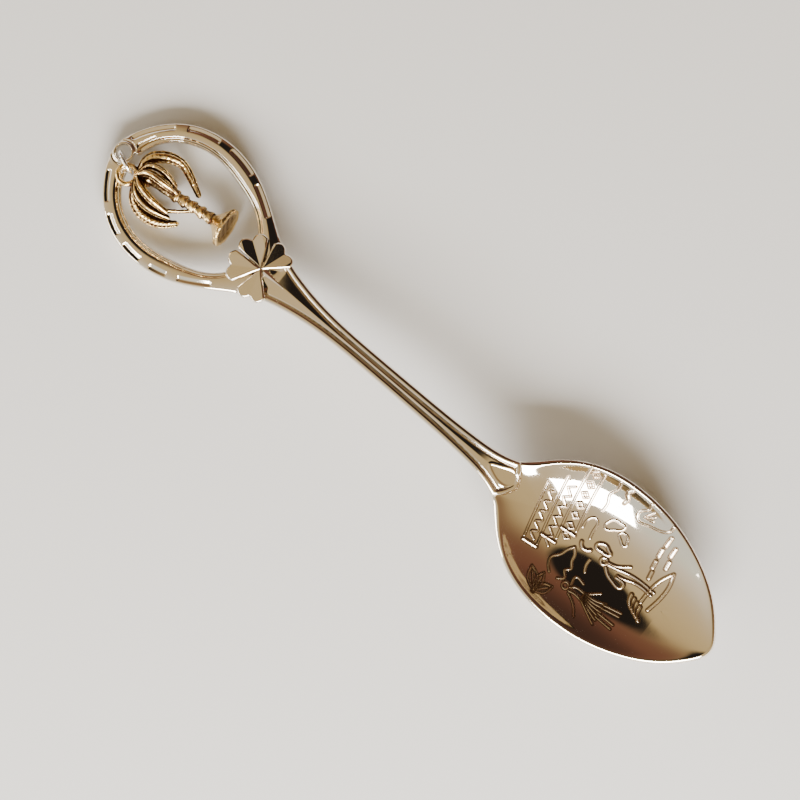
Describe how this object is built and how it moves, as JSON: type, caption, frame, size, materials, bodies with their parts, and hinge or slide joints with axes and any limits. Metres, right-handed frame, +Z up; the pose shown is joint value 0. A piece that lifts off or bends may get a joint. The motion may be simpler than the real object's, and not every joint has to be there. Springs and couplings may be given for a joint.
{
  "type": "souvenir spoon",
  "caption": "Small charm spoon with a pointed bowl, a beaded stem, an open oval loop at the handle's end, a clover badge, and a palm tree charm on a jump ring.",
  "frame": {"origin": "on the table, under the middle of the spoon's length and width, at the height of the lowest point of the bowl", "axes": "+X along the spoon from the loop to the bowl's tip, +Z up out of the bowl's mouth, +Y to the left of +X"},
  "size_m": [0.1116, 0.0228, 0.0087],
  "materials": {
    "spoon_plate": "polished silver plate over brass, warm in tone, with fine wear",
    "badge_plate": "polished silver plate",
    "ring_wire": "bright plated wire",
    "charm_gold": "antique gold plate, darkened in the hollows"
  },
  "bodies": {
    "spoon": {"bowl": "spoon_plate", "handle": "spoon_plate", "clover_badge": "badge_plate"},
    "ring": {"jump_ring": "ring_wire"},
    "charm": {"palm_charm": "charm_gold"}
  },
  "joints": [
    {"name": "ring_swing", "type": "hinge", "parent": "spoon", "child": "ring", "pos_m": [-0.053, -0.00095, 0.00206], "axis": [-0.3875, -0.9219, 0], "range_deg": [0, 60]},
    {"name": "charm_swing", "type": "hinge", "parent": "ring", "child": "charm", "pos_m": [-0.05135, -0.00164, 0.00206], "axis": [0, 0, 1], "range_deg": [-14, 7]}
  ]
}
